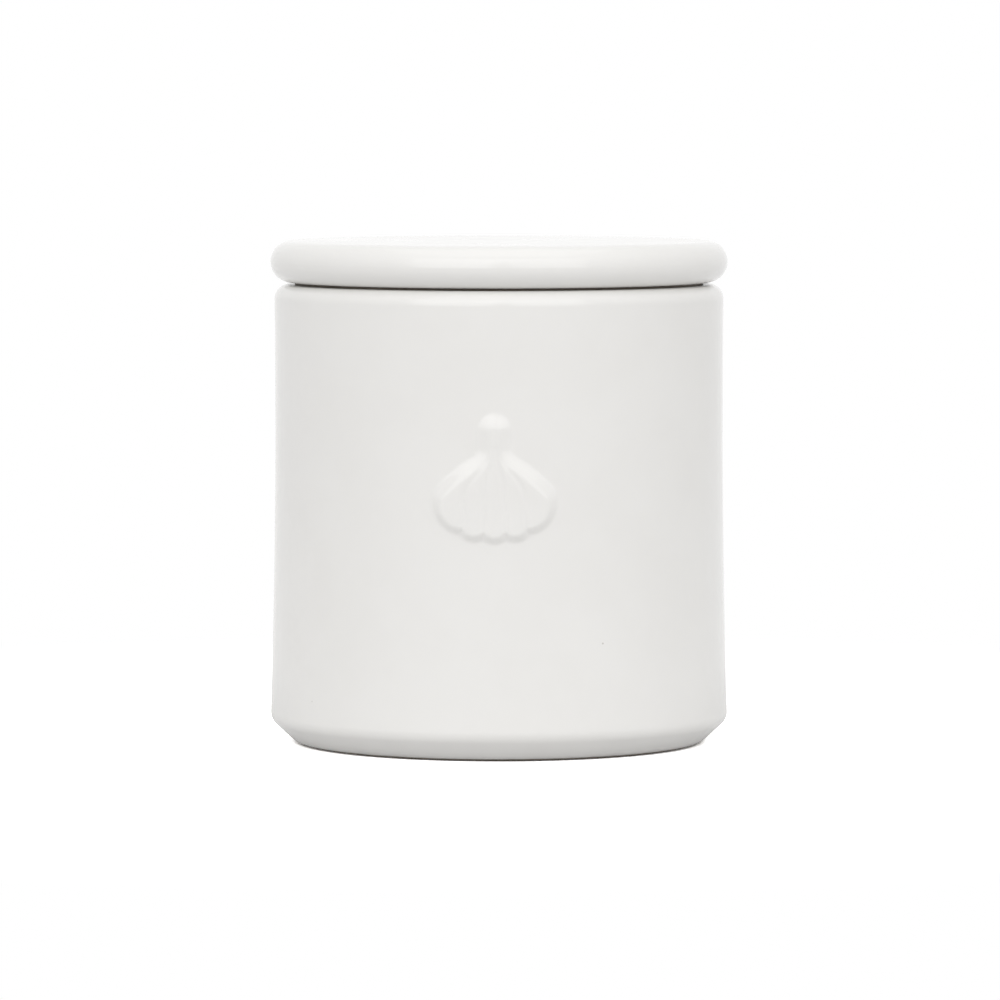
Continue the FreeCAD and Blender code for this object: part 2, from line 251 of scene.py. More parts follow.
def lid_section():
    return section([
        (0, LID_RECESS_TOP, 0),
        (LID_RECESS_RADIUS, LID_RECESS_TOP, LID_RECESS_ROUND),
        (LID_RECESS_RADIUS, RING_BOTTOM, LID_RING_ROUND),
        (LID_RING_RADIUS, RING_BOTTOM, LID_RING_ROUND),
        (LID_RING_RADIUS, GROOVE_BOTTOM, GROOVE_ROUND),
        (GROOVE_RADIUS, GROOVE_BOTTOM, GROOVE_ROUND),
        (GROOVE_RADIUS, LID_UNDERSIDE, GROOVE_ROUND),
        (LID_RADIUS, LID_UNDERSIDE, LID_EDGE_ROUND),
        (LID_RADIUS, LID_TOP, LID_EDGE_ROUND),
        (0, LID_TOP, 0),
    ])


def seal_section():
    corners = [
        (SLEEVE_INSIDE, LID_UNDERSIDE, 0),
        (SLEEVE_INSIDE, SLEEVE_BOTTOM, SLEEVE_ROUND),
        (SLEEVE_OUTSIDE, SLEEVE_BOTTOM, SLEEVE_ROUND),
    ]
    for number in range(RIB_COUNT):
        middle = SLEEVE_BOTTOM + RIB_PITCH * (number + 0.5)
        corners += [
            (SLEEVE_OUTSIDE, middle - RIB_HEIGHT / 2, RIB_FOOT_ROUND),
            (RIB_RADIUS, middle, SLEEVE_ROUND),
            (SLEEVE_OUTSIDE, middle + RIB_HEIGHT / 2, RIB_FOOT_ROUND),
        ]
    corners += [
        (SLEEVE_OUTSIDE, RIM_HEIGHT, SLEEVE_ROUND),
        (FLANGE_RADIUS, RIM_HEIGHT, SEAL_EDGE_ROUND),
        (FLANGE_RADIUS, LID_UNDERSIDE, SEAL_EDGE_ROUND),
        (SLEEVE_INSIDE, LID_UNDERSIDE, 0),
    ]
    return section(corners)


# Plain meshes that the node trees start from


def new_object(name, points, edges=(), faces=()):
    mesh = bpy.data.meshes.new(name)
    mesh.from_pydata(points, edges, faces)
    mesh.update()
    piece = bpy.data.objects.new(name, mesh)
    bpy.context.scene.collection.objects.link(piece)
    return piece


def section_object(name, points):
    """A section as a line of points in the XZ plane."""
    places = [(point.x * MM, 0, point.y * MM) for point in points]
    return new_object(name, places, [(index, index + 1) for index in range(len(places) - 1)])


def arc_points(start, end, radius, steps=12):
    """The shorter arc without its end. It turns left on its way, or right with a negative radius."""
    start, end = Vector(start), Vector(end)
    half = (end - start).length / 2
    left = Vector((start.y - end.y, end.x - start.x)).normalized() * math.copysign(1, radius)
    centre = (start + end) / 2 + left * math.sqrt(max(radius**2 - half**2, 0))
    return arc_about(centre, start, end, steps)[:-1]


def bulb_outline():
    """The raised bulb's outline: five cloves below, two shoulders and a stem, the same on both sides."""
    notch = (CLOVE_WIDTH / 2, CLOVE_NOTCH)
    outer_notch = (CLOVE_WIDTH * 3 / 2, CLOVE_NOTCH + CLOVE_STEP)
    neck = (STEM_HALF_WIDTH, STEM_FOOT)
    stem_end = (STEM_HALF_WIDTH, BULB_HEIGHT - STEM_HALF_WIDTH)
    right = arc_points((0, 0), notch, CLOVE_TIP_ROUND)
    right += arc_points(notch, outer_notch, CLOVE_TIP_ROUND)
    right += arc_points(outer_notch, BULB_WIDEST, OUTER_CLOVE_ROUND)
    right += arc_points(BULB_WIDEST, SHOULDER_TURN, SHOULDER_TURN_ROUND)
    right += arc_points(SHOULDER_TURN, SHOULDER_TOP, SHOULDER_ROUND)
    right += arc_points(SHOULDER_TOP, neck, -NECK_ROUND)
    right += [Vector(neck)]
    right += arc_points(stem_end, (0, BULB_HEIGHT), STEM_HALF_WIDTH)
    left = [Vector((-point.x, point.y)) for point in reversed(right[1:])]
    return right + [Vector((0, BULB_HEIGHT))] + left


def bulb_object():
    places = [(point.x * MM, 0, (BULB_BOTTOM + point.y) * MM) for point in bulb_outline()]
    return new_object("bulb_outline", places, faces=[tuple(range(len(places)))])


def clove_seams_object(steps=16):
    """The lines between the cloves, from the notches up to the neck."""
    lines = []
    for clove in (-1.5, -0.5, 0.5, 1.5):
        low = CLOVE_NOTCH + CLOVE_STEP * (abs(clove) - 0.5)
        line = []
        for step in range(steps + 1):
            share = step / steps
            swell = CLOVE_SEAM_SWELL * math.sin(math.pi * share) ** 2
            across = clove * (CLOVE_WIDTH * (1 - share) + swell)
            line.append((across * MM, 0, (BULB_BOTTOM + low + (STEM_FOOT - low) * share) * MM))
        lines.append(line)
    points = [place for line in lines for place in line]
    edges = []
    for number in range(len(lines)):
        first = number * (steps + 1)
        edges += [(first + step, first + step + 1) for step in range(steps)]
    return new_object("clove_seams", points, edges)


def cell_border():
    """Points round a vent cell, in degrees across and millimetres up, a corner first."""
    right, top = VENT_PITCH / 2, VENT_ROW_GAP / 2
    column, row = VENT_PITCH / CELL_COLUMNS, VENT_ROW_GAP / CELL_ROWS
    border = [(-right + column * step, -top) for step in range(CELL_COLUMNS)]
    border += [(right, -top + row * step) for step in range(CELL_ROWS)]
    border += [(right - column * step, top) for step in range(CELL_COLUMNS)]
    border += [(-right, top - row * step) for step in range(CELL_ROWS)]
    return border


def vent_cell_object(plate_steps=4, lip_steps=5, tunnel_steps=3):
    """One cell of the unrolled wall with its air hole: X is the turn in radians, Y the depth as a share
    of the wall, Z the height. The hole's edges are rounded outside and inside."""
    wall = wall_radius(VENT_ROWS[0][0]) - MOUTH_RADIUS
    rings = [(0.0, None, share / plate_steps) for share in range(plate_steps)]
    for step in range(lip_steps + 1):
        turn = math.pi / 2 * step / lip_steps
        hole = VENT_RADIUS + VENT_LIP_ROUND * (1 - math.sin(turn))
        rings.append((VENT_LIP_ROUND * (1 - math.cos(turn)) / wall, hole, 1.0))
    tunnel = 1 - 2 * VENT_LIP_ROUND / wall
    for step in range(1, tunnel_steps):
        rings.append((VENT_LIP_ROUND / wall + tunnel * step / tunnel_steps, VENT_RADIUS, 1.0))
    outer = rings[:plate_steps + lip_steps + 1]
    rings += [(1 - depth, hole, share) for depth, hole, share in reversed(outer)]
    border = cell_border()
    points = []
    for depth, hole, share in rings:
        radius = MOUTH_RADIUS + wall * (1 - depth)
        lip = VENT_RADIUS + VENT_LIP_ROUND if hole is None else hole
        for across, up in border:
            bearing = math.atan2(up, across * DEGREE * radius)
            turn = math.asin(lip * math.cos(bearing) / radius)
            turn += (across * DEGREE - turn) * (1 - share)
            rise = lip * math.sin(bearing)
            rise += (up - rise) * (1 - share)
            points.append((turn, depth, rise * MM))
    size = len(border)
    faces = []
    for ring in range(len(rings) - 1):
        for index in range(size):
            following = (index + 1) % size
            here, there = ring * size, (ring + 1) * size
            faces.append((here + index, here + following, there + following, there + index))
    return new_object("vent_cell", points, faces=faces)


# Node trees


class Wire:
    """One value in a node tree, so that a formula written with it becomes Math nodes."""

    def __init__(self, tree, socket):
        self.tree = tree
        self.socket = socket

    def math(self, operation, *others):
        node = self.tree.nodes.new("ShaderNodeMath")
        node.operation = operation
        for socket, value in zip(node.inputs, (self, *others)):
            feed(self.tree, socket, value)
        return Wire(self.tree, node.outputs[0])

    def __add__(self, other):
        return self.math("ADD", other)

    def __sub__(self, other):
        return self.math("SUBTRACT", other)

    def __mul__(self, other):
        return self.math("MULTIPLY", other)

    def __truediv__(self, other):
        return self.math("DIVIDE", other)

    def __lt__(self, other):
        return self.math("LESS_THAN", other)

    def __gt__(self, other):
        return self.math("GREATER_THAN", other)


def feed(tree, socket, value):
    """Joins a socket to a wire or to another node's socket, or sets it to a plain value."""
    if isinstance(value, Wire):
        value = value.socket
    if isinstance(value, bpy.types.NodeSocket):
        tree.links.new(value, socket)
    else:
        socket.default_value = value


def add_node(tree, kind, inputs=None, **settings):
    node = tree.nodes.new(kind)
    for name, value in settings.items():
        setattr(node, name, value)
    for name, value in (inputs or {}).items():
        feed(tree, node.inputs[name], value)
    return node


def new_tree(name, kind, inputs, outputs):
    """A node group with named sockets, its input node's sockets by name, and its output node."""
    tree = bpy.data.node_groups.new(name, kind)
    for label, socket_kind in inputs.items():
        tree.interface.new_socket(label, in_out="INPUT", socket_type=f"NodeSocket{socket_kind}")
    for label, socket_kind in outputs.items():
        tree.interface.new_socket(label, in_out="OUTPUT", socket_type=f"NodeSocket{socket_kind}")
    start = tree.nodes.new("NodeGroupInput")
    given = {label: start.outputs[label] for label in inputs}
    return tree, given, tree.nodes.new("NodeGroupOutput")


def place_parts(tree):
    """The position of the point or face that is looked at, as three wires."""
    position = add_node(tree, "GeometryNodeInputPosition").outputs[0]
    parts = add_node(tree, "ShaderNodeSeparateXYZ", {"Vector": position}).outputs
    return [Wire(tree, part) for part in parts]


def moved(tree, geometry, x, y, z):
    place = add_node(tree, "ShaderNodeCombineXYZ", {"X": x, "Y": y, "Z": z}).outputs[0]
    node = add_node(tree, "GeometryNodeSetPosition", {"Geometry": geometry, "Position": place})
    return node.outputs[0]


def eased(tree, value, low, high, at_low=0.0, at_high=1.0):
    """Passes smoothly from one value to another between two limits."""
    node = add_node(tree, "ShaderNodeMapRange", interpolation_type="SMOOTHSTEP")
    for socket, given_value in zip(node.inputs, (value, low, high, at_low, at_high)):
        feed(tree, socket, given_value)
    return Wire(tree, node.outputs[0])


# Inputs that one tree passes on to another, with the kinds of their sockets

COLUMN_INPUTS = {"Fine columns": "Int", "Fine step": "Float", "Coarse columns": "Int"}
BULB_INPUTS = {
    "Outline": "Object",
    "Clove seams": "Object",
    "Wall radius": "Float",
    "Least radius": "Float",
    "Relief": "Float",
    "Upper edge": "Float",
    "Lower edge": "Float",
    "Widest height": "Float",
    "Seam depth": "Float",
    "Seam width": "Float",
}
VENT_INPUTS = {
    "Cell": "Object",
    "Pitch": "Float",
    "Cell height": "Float",
    "Mouth radius": "Float",
    "Bevel height": "Float",
    "Base radius": "Float",
    "Rim height": "Float",
    "Rim radius": "Float",
    "Hollow": "Float",
}


def unrolled_tree():
    """A section swept through a full turn, unrolled: X is the turn, Y the radius and Z the height.
    The columns at the front can be closer than the others."""
    tree, given, end = new_tree(
        "unrolled_piece",
        "GeometryNodeTree",
        {"Section": "Geometry", **COLUMN_INPUTS},
        {"Unrolled": "Geometry"},
    )
    fine = Wire(tree, given["Fine columns"])
    fine_step = Wire(tree, given["Fine step"])
    coarse = Wire(tree, given["Coarse columns"])
    size = add_node(tree, "GeometryNodeAttributeDomainSize", {"Geometry": given["Section"]})
    rows = Wire(tree, size.outputs["Point Count"])
    grid = add_node(tree, "GeometryNodeMeshGrid", {"Vertices X": fine + coarse + 1, "Vertices Y": rows})
    index = Wire(tree, add_node(tree, "GeometryNodeInputIndex").outputs[0])
    column = (index / rows).math("FLOOR")
    row = index - column * rows
    coarse_step = (fine * fine_step * -1 + 2 * math.pi) / coarse
    turn = column.math("MINIMUM", fine) * fine_step - fine * fine_step * 0.5
    turn = turn + (column - fine).math("MAXIMUM", 0) * coarse_step
    place = add_node(tree, "GeometryNodeInputPosition").outputs[0]
    picked = add_node(
        tree,
        "GeometryNodeSampleIndex",
        {"Geometry": given["Section"], "Index": row},
        data_type="FLOAT_VECTOR",
    )
    feed(tree, picked.inputs["Value"], place)
    point = add_node(tree, "ShaderNodeSeparateXYZ", {"Vector": picked.outputs["Value"]}).outputs
    feed(tree, end.inputs["Unrolled"], moved(tree, grid.outputs["Mesh"], turn, point["X"], point["Z"]))
    return tree


def rolled_tree():
    """Rolls an unrolled piece up again, closes its seam and its poles, and gives it its material."""
    tree, given, end = new_tree(
        "rolled_piece",
        "GeometryNodeTree",
        {"Unrolled": "Geometry", "Weld": "Float", "Material": "Material"},
        {"Piece": "Geometry"},
    )
    turn, radius, height = place_parts(tree)
    x, y = radius * turn.math("SINE"), radius * turn.math("COSINE") * -1
    rolled = moved(tree, given["Unrolled"], x, y, height)
    welded = add_node(
        tree, "GeometryNodeMergeByDistance", {"Geometry": rolled, "Distance": given["Weld"]}
    )
    smooth = add_node(tree, "GeometryNodeSetShadeSmooth", {"Geometry": welded.outputs[0]})
    whole = add_node(tree, "GeometryNodeRealizeInstances", {"Geometry": smooth.outputs[0]})
    finished = add_node(
        tree, "GeometryNodeSetMaterial", {"Geometry": whole.outputs[0], "Material": given["Material"]}
    )
    feed(tree, end.inputs["Piece"], finished.outputs[0])
    return tree


def use_group(tree, kind, group, inputs):
    node = tree.nodes.new(kind)
    node.node_tree = group
    for name, value in inputs.items():
        feed(tree, node.inputs[name], value)
    return node


def turned_tree(unrolled, rolled):
    """A piece turned about its axis, such as the lid."""
    tree, given, end = new_tree(
        "turned_piece",
        "GeometryNodeTree",
        {"Section": "Geometry", "Columns": "Int", "Weld": "Float", "Material": "Material"},
        {"Piece": "Geometry"},
    )
    flat = use_group(tree, "GeometryNodeGroup", unrolled, {
        "Section": given["Section"], "Coarse columns": given["Columns"],
    })
    piece = use_group(tree, "GeometryNodeGroup", rolled, {
        "Unrolled": flat.outputs[0], "Weld": given["Weld"], "Material": given["Material"],
    })
    feed(tree, end.inputs["Piece"], piece.outputs[0])
    return tree


def raised_bulb_tree():
    """Raises a bulb out of the front of the unrolled wall, with soft edges that are steeper below,
    and with faint seams between its cloves."""
    tree, given, end = new_tree(
        "raised_bulb",
        "GeometryNodeTree",
        {"Unrolled": "Geometry", **BULB_INPUTS},
        {"Unrolled": "Geometry"},
    )
    turn, radius, height = place_parts(tree)
    across = turn * Wire(tree, given["Wall radius"])
    flat = add_node(tree, "ShaderNodeCombineXYZ", {"X": across, "Z": height}).outputs[0]

    def distance_to(shape, element):
        target = add_node(tree, "GeometryNodeObjectInfo", {"Object": given[shape]}).outputs["Geometry"]
        near = add_node(tree, "GeometryNodeProximity", target_element=element)
        feed(tree, near.inputs[0], target)
        feed(tree, near.inputs["Source Position"], flat)
        return Wire(tree, near.outputs["Distance"])

    outside = (distance_to("Outline", "FACES") > ON_OUTLINE * MM) * 2 - 1
    past_edge = distance_to("Outline", "EDGES") * outside
    widest = Wire(tree, given["Widest height"])
    lower, upper = Wire(tree, given["Lower edge"]), Wire(tree, given["Upper edge"])
    half_edge = eased(tree, height, widest - upper, widest + upper, lower, upper) * 0.5
    inside = eased(tree, past_edge, half_edge * -1, half_edge, 1.0, 0.0)
    from_seam = distance_to("Clove seams", "EDGES")
    seam = eased(tree, from_seam, 0.0, given["Seam width"], given["Seam depth"], 0.0)
    on_wall = radius > Wire(tree, given["Least radius"])
    swell = (Wire(tree, given["Relief"]) - seam) * inside * on_wall
    raised = moved(tree, given["Unrolled"], turn, radius + swell, height)
    feed(tree, end.inputs["Unrolled"], raised)
    return tree


def vent_row_tree():
    """One row of air holes: takes their cells out of both sides of the unrolled wall, and puts a cell
    with a hole in each place."""
    tree, given, end = new_tree(
        "vent_row",
        "GeometryNodeTree",
        {"Unrolled": "Geometry", "Count": "Int", "Height": "Float", **VENT_INPUTS},
        {"Unrolled": "Geometry"},
    )
    sizes = {name: socket for name, socket in given.items() if name not in ("Unrolled", "Cell")}
    wires = {name: Wire(tree, socket) for name, socket in sizes.items()}
    turn, radius, height = place_parts(tree)
    beside = (turn - math.pi).math("ABSOLUTE") < wires["Count"] * wires["Pitch"] * 0.5
    level = (height - wires["Height"]).math("ABSOLUTE") < wires["Cell height"] * 0.5
    on_wall = radius > wires["Mouth radius"] * JUST_INSIDE
    opened = add_node(
        tree,
        "GeometryNodeDeleteGeometry",
        {"Geometry": given["Unrolled"], "Selection": beside * level * on_wall},
        domain="FACE",
    )
    first = wires["Pitch"] * (wires["Count"] - 1) * -0.5 + math.pi
    start = add_node(tree, "ShaderNodeCombineXYZ", {"X": first, "Z": wires["Height"]}).outputs[0]
    step = add_node(tree, "ShaderNodeCombineXYZ", {"X": wires["Pitch"]}).outputs[0]
    row = add_node(
        tree, "GeometryNodeMeshLine", {"Count": wires["Count"], "Start Location": start, "Offset": step}
    )
    cell = add_node(tree, "GeometryNodeObjectInfo", {"Object": given["Cell"]}).outputs["Geometry"]
    placed = add_node(
        tree, "GeometryNodeInstanceOnPoints", {"Points": row.outputs["Mesh"], "Instance": cell}
    )
    cells = add_node(tree, "GeometryNodeRealizeInstances", {"Geometry": placed.outputs[0]}).outputs[0]
    turn, depth, height = place_parts(tree)
    share = (height - wires["Bevel height"]) / (wires["Rim height"] - wires["Bevel height"])
    chord = wires["Base radius"] + (wires["Rim radius"] - wires["Base radius"]) * share
    wall = chord - wires["Hollow"] * 4 * share * (share * -1 + 1)
    bent = moved(tree, cells, turn, wall + (wires["Mouth radius"] - wall) * depth, height)
    joined = tree.nodes.new("GeometryNodeJoinGeometry")
    tree.links.new(bent, joined.inputs[0])
    tree.links.new(opened.outputs[0], joined.inputs[0])
    feed(tree, end.inputs["Unrolled"], joined.outputs[0])
    return tree


def jar_tree(unrolled, rolled, raised_bulb, vent_row):
    """The jar: its section turned, the bulb raised on its front, the air holes put in its back."""
    rows = {}
    for number in range(len(VENT_ROWS)):
        rows[f"Height {number + 1}"] = "Float"
        rows[f"Count {number + 1}"] = "Int"
    tree, given, end = new_tree(
        "jar_shell",
        "GeometryNodeTree",
        {"Section": "Geometry", **COLUMN_INPUTS, **BULB_INPUTS, **VENT_INPUTS, **rows,
         "Weld": "Float", "Material": "Material"},
        {"Piece": "Geometry"},
    )
    node = use_group(tree, "GeometryNodeGroup", unrolled,
                     {name: given[name] for name in ("Section", *COLUMN_INPUTS)})
    node = use_group(tree, "GeometryNodeGroup", raised_bulb,
                     {"Unrolled": node.outputs[0], **{name: given[name] for name in BULB_INPUTS}})
    for number in range(len(VENT_ROWS)):
        values = {name: given[name] for name in VENT_INPUTS}
        values["Height"] = given[f"Height {number + 1}"]
        values["Count"] = given[f"Count {number + 1}"]
        node = use_group(tree, "GeometryNodeGroup", vent_row, {"Unrolled": node.outputs[0], **values})
    node = use_group(tree, "GeometryNodeGroup", rolled, {
        "Unrolled": node.outputs[0], "Weld": given["Weld"], "Material": given["Material"],
    })
    feed(tree, end.inputs["Piece"], node.outputs[0])
    return tree


def made_by_tree(piece, tree, values):
    """Runs a node tree on a piece with these values, and leaves the result as its plain mesh."""
    modifier = piece.modifiers.new(tree.name, "NODES")
    modifier.node_group = tree
    for socket in tree.interface.items_tree:
        if socket.item_type == "SOCKET" and socket.in_out == "INPUT" and socket.name in values:
            modifier[socket.identifier] = values[socket.name]
    graph = bpy.context.evaluated_depsgraph_get()
    mesh = bpy.data.meshes.new_from_object(piece.evaluated_get(graph))
    piece.modifiers.remove(modifier)
    piece.data = mesh
    mesh.name = piece.name


# Materials. Scales are per metre, depths in millimetres. A glaze's relief is the height of its broad
# waves and of its fine peel.

GLAZE_COLOUR = (0.83, 0.82, 0.80, 1)
THIN_GLAZE_COLOUR = (0.816, 0.805, 0.784, 1)
GLAZE_ROUGHNESS = (0.10, 0.16)
GLAZE_IOR = 1.52
GLAZE_THICKNESS = 0.12
WAVE_SCALE = 26.0
PEEL_SCALE = 620.0
DRIFT_SCALE = 45.0
JAR_GLAZE_RELIEF = (0.05, 0.003)
LID_GLAZE_RELIEF = (0.01, 0.0004)
PIN_SCALE = 115.0
PIN_EDGE = (0.012, 0.035)
PIN_CHOSEN_ABOVE = 0.86
PIN_DEPTH = 0.006
# Bare clay, darker than the stoneware really is: it is also the painted contact shadow where the jar's
# foot meets the floor. The lid's ring and the pinholes use the same colour.
CLAY_AND_CONTACT_SHADE_COLOUR = (0.29, 0.255, 0.215, 1)
CLAY_ROUGHNESS = 0.8
CLAY_GRAIN = 0.03
GRAIN_SCALE = 1900.0
# The jar's bare band is taller than its unglazed foot alone. It is a band of painted contact shadow.
JAR_CLAY_AND_CONTACT_SHADE_BELOW = 0.55
LID_BARE_BELOW = RING_BOTTOM + 0.3
BORDER_RAGGEDNESS = 0.3
BORDER_SOFTNESS = 0.08
RAGGED_SCALE = 260.0
# The seal's grey-brown is made dark: it is also the painted shade of the seam between the lid and the
# jar.
SILICONE_AND_SEAM_SHADE_COLOUR = (0.22, 0.185, 0.15, 1)
DARKER_SILICONE_AND_SEAM_SHADE_COLOUR = (0.17, 0.145, 0.12, 1)
SILICONE_ROUGHNESS = (0.48, 0.62)
SILICONE_IOR = 1.41
SILICONE_DRIFT_SCALE = 60.0
SKIN_SCALE = 2400.0
SKIN_DEPTH = 0.02


def noise(tree, place, scale, detail=2.0, roughness=0.5):
    node = add_node(tree, "ShaderNodeTexNoise", {
        "Vector": place, "Scale": scale, "Detail": detail, "Roughness": roughness,
    })
    return Wire(tree, node.outputs[0])


def mixed_colour(tree, share, first, second):
    node = add_node(tree, "ShaderNodeMix", data_type="RGBA")
    feed(tree, node.inputs["Factor"], share)
    feed(tree, node.inputs[6], first)
    feed(tree, node.inputs[7], second)
    return node.outputs[2]


def glaze_over_clay_group():
    """White glaze on a stoneware body: broad waves and fine peel in the glaze, a few pinholes, a tone
    that drifts a little, and bare clay with a ragged border below a given height. The clay is made
    darker than bare stoneware, so that on the jar's foot it is also painted contact shadow."""
    tree, given, end = new_tree(
        "glaze_over_clay",
        "ShaderNodeTree",
        {
            "Place": "Vector",
            "Glaze": "Color",
            "Thin glaze": "Color",
            "Clay": "Color",
            "Bare below": "Float",
            "Border": "Float",
            "Wave height": "Float",
            "Peel height": "Float",
        },
        {"Colour": "Color", "Roughness": "Float", "Height": "Float"},
    )
    place = given["Place"]
    height = Wire(tree, add_node(tree, "ShaderNodeSeparateXYZ", {"Vector": place}).outputs["Z"])
    wave = noise(tree, place, WAVE_SCALE, 1.0)
    peel = noise(tree, place, PEEL_SCALE, 2.0)
    drift = noise(tree, place, DRIFT_SCALE, 3.0, 0.6)
    grain = noise(tree, place, GRAIN_SCALE, 4.0, 0.7)
    ragged = noise(tree, place, RAGGED_SCALE, 3.0, 0.6)
    pins = add_node(tree, "ShaderNodeTexVoronoi", {"Vector": place, "Scale": PIN_SCALE})
    near_pin = eased(tree, pins.outputs["Distance"], *PIN_EDGE, 1.0, 0.0)
    chosen = add_node(tree, "ShaderNodeSeparateColor", {"Color": pins.outputs["Color"]}).outputs[0]
    pin = near_pin * (Wire(tree, chosen) > PIN_CHOSEN_ABOVE)
    limit = Wire(tree, given["Bare below"]) + (ragged - 0.5) * Wire(tree, given["Border"])
    bare = eased(tree, height - limit, -BORDER_SOFTNESS * MM, BORDER_SOFTNESS * MM, 1.0, 0.0)
    glazed = bare * -1 + 1
    tone = mixed_colour(tree, eased(tree, drift, 0.35, 0.75), given["Glaze"], given["Thin glaze"])
    speck = mixed_colour(tree, pin * 0.5, tone, given["Clay"])
    feed(tree, end.inputs["Colour"], mixed_colour(tree, bare, speck, given["Clay"]))
    polish = eased(tree, drift, 0.3, 0.7, *GLAZE_ROUGHNESS)
    feed(tree, end.inputs["Roughness"], polish * glazed + bare * CLAY_ROUGHNESS + pin * 0.1)
    waves = (wave - 0.5) * Wire(tree, given["Wave height"])
    relief = waves + (peel - 0.5) * Wire(tree, given["Peel height"])
    clay = grain * CLAY_GRAIN - GLAZE_THICKNESS
    feed(tree, end.inputs["Height"], relief * glazed - pin * PIN_DEPTH + clay * bare)
    return tree


def new_material(name):
    material = bpy.data.materials.new(name)
    material.use_nodes = True
    tree = material.node_tree
    return material, tree, tree.nodes["Principled BSDF"]


def bump(tree, height, strength=1.0):
    """Turns a height in millimetres into a normal."""
    node = add_node(tree, "ShaderNodeBump", {"Height": height, "Strength": strength, "Distance": MM})
    return node.outputs["Normal"]


def glaze_material(name, group, bare_below, wave_height, peel_height):
    material, tree, shader = new_material(name)
    place = add_node(tree, "ShaderNodeTexCoord").outputs["Object"]
    surface = use_group(tree, "ShaderNodeGroup", group, {
        "Place": place,
        "Glaze": GLAZE_COLOUR,
        "Thin glaze": THIN_GLAZE_COLOUR,
        "Clay": CLAY_AND_CONTACT_SHADE_COLOUR,
        "Bare below": bare_below * MM,
        "Border": BORDER_RAGGEDNESS * MM,
        "Wave height": wave_height,
        "Peel height": peel_height,
    })
    feed(tree, shader.inputs["Base Color"], surface.outputs["Colour"])
    feed(tree, shader.inputs["Roughness"], surface.outputs["Roughness"])
    feed(tree, shader.inputs["Normal"], bump(tree, surface.outputs["Height"]))
    shader.inputs["IOR"].default_value = GLAZE_IOR
    return material


def silicone_material():
    """Soft grey-brown silicone with a fine moulded skin, coloured dark so that it is also the painted
    shade of the seam under the lid.
    """
    material, tree, shader = new_material("seal_silicone")
    place = add_node(tree, "ShaderNodeTexCoord").outputs["Object"]
    skin = noise(tree, place, SKIN_SCALE, 3.0, 0.6)
    drift = noise(tree, place, SILICONE_DRIFT_SCALE, 2.0)
    colour = mixed_colour(tree, drift, SILICONE_AND_SEAM_SHADE_COLOUR, DARKER_SILICONE_AND_SEAM_SHADE_COLOUR)
    feed(tree, shader.inputs["Base Color"], colour)
    feed(tree, shader.inputs["Roughness"], eased(tree, skin, 0.3, 0.7, *SILICONE_ROUGHNESS))
    feed(tree, shader.inputs["Normal"], bump(tree, skin * SKIN_DEPTH))
    shader.inputs["IOR"].default_value = SILICONE_IOR
    return material


# The pieces


def set_down(piece, body, node):
    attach(piece, body)
    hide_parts(node)


def make_jar(trees, glaze):
    piece = section_object("glazed_jar", jar_section())
    outline, seams, cell = bulb_object(), clove_seams_object(), vent_cell_object()
    values = {
        "Fine columns": FINE_COLUMNS,
        "Fine step": FINE_STEP * DEGREE,
        "Coarse columns": JAR_COARSE_COLUMNS,
        "Outline": outline,
        "Clove seams": seams,
        "Wall radius": RIM_RADIUS * MM,
        "Least radius": (MOUTH_RADIUS + RIM_RADIUS) / 2 * MM,
        "Relief": BULB_RELIEF * MM,
        "Upper edge": BULB_UPPER_EDGE * MM,
        "Lower edge": BULB_LOWER_EDGE * MM,
        "Widest height": (BULB_BOTTOM + BULB_WIDEST[1]) * MM,
        "Seam depth": CLOVE_SEAM_DEPTH * MM,
        "Seam width": CLOVE_SEAM_WIDTH * MM,
        "Cell": cell,
        "Pitch": VENT_PITCH * DEGREE,
        "Cell height": VENT_ROW_GAP * MM,
        "Mouth radius": MOUTH_RADIUS * MM,
        "Bevel height": BEVEL_HEIGHT * MM,
        "Base radius": BASE_RADIUS * MM,
        "Rim height": RIM_HEIGHT * MM,
        "Rim radius": RIM_RADIUS * MM,
        "Hollow": WALL_HOLLOW * MM,
        "Weld": WELD * MM,
        "Material": glaze,
    }
    for number, (height, count) in enumerate(VENT_ROWS, start=1):
        values[f"Height {number}"] = height * MM
        values[f"Count {number}"] = count
    made_by_tree(piece, trees["jar"], values)
    for helper in (outline, seams, cell):
        bpy.data.objects.remove(helper)
    set_down(piece, "jar", "jar")


def make_turned(name, points, trees, material):
    piece = section_object(name, points)
    values = {"Columns": LID_COLUMNS, "Weld": WELD * MM, "Material": material}
    made_by_tree(piece, trees["turned"], values)
    return piece


# The studio


def seen_rays(tree):
    """1 for the camera's rays, and 1 for all rays that show the studio, mirrored and bent ones too."""
    path = tree.nodes.new("ShaderNodeLightPath")
    camera = Wire(tree, path.outputs["Is Camera Ray"])
    seen = camera.math("MAXIMUM", path.outputs["Is Glossy Ray"])
    return camera, seen.math("MAXIMUM", path.outputs["Is Transmission Ray"])


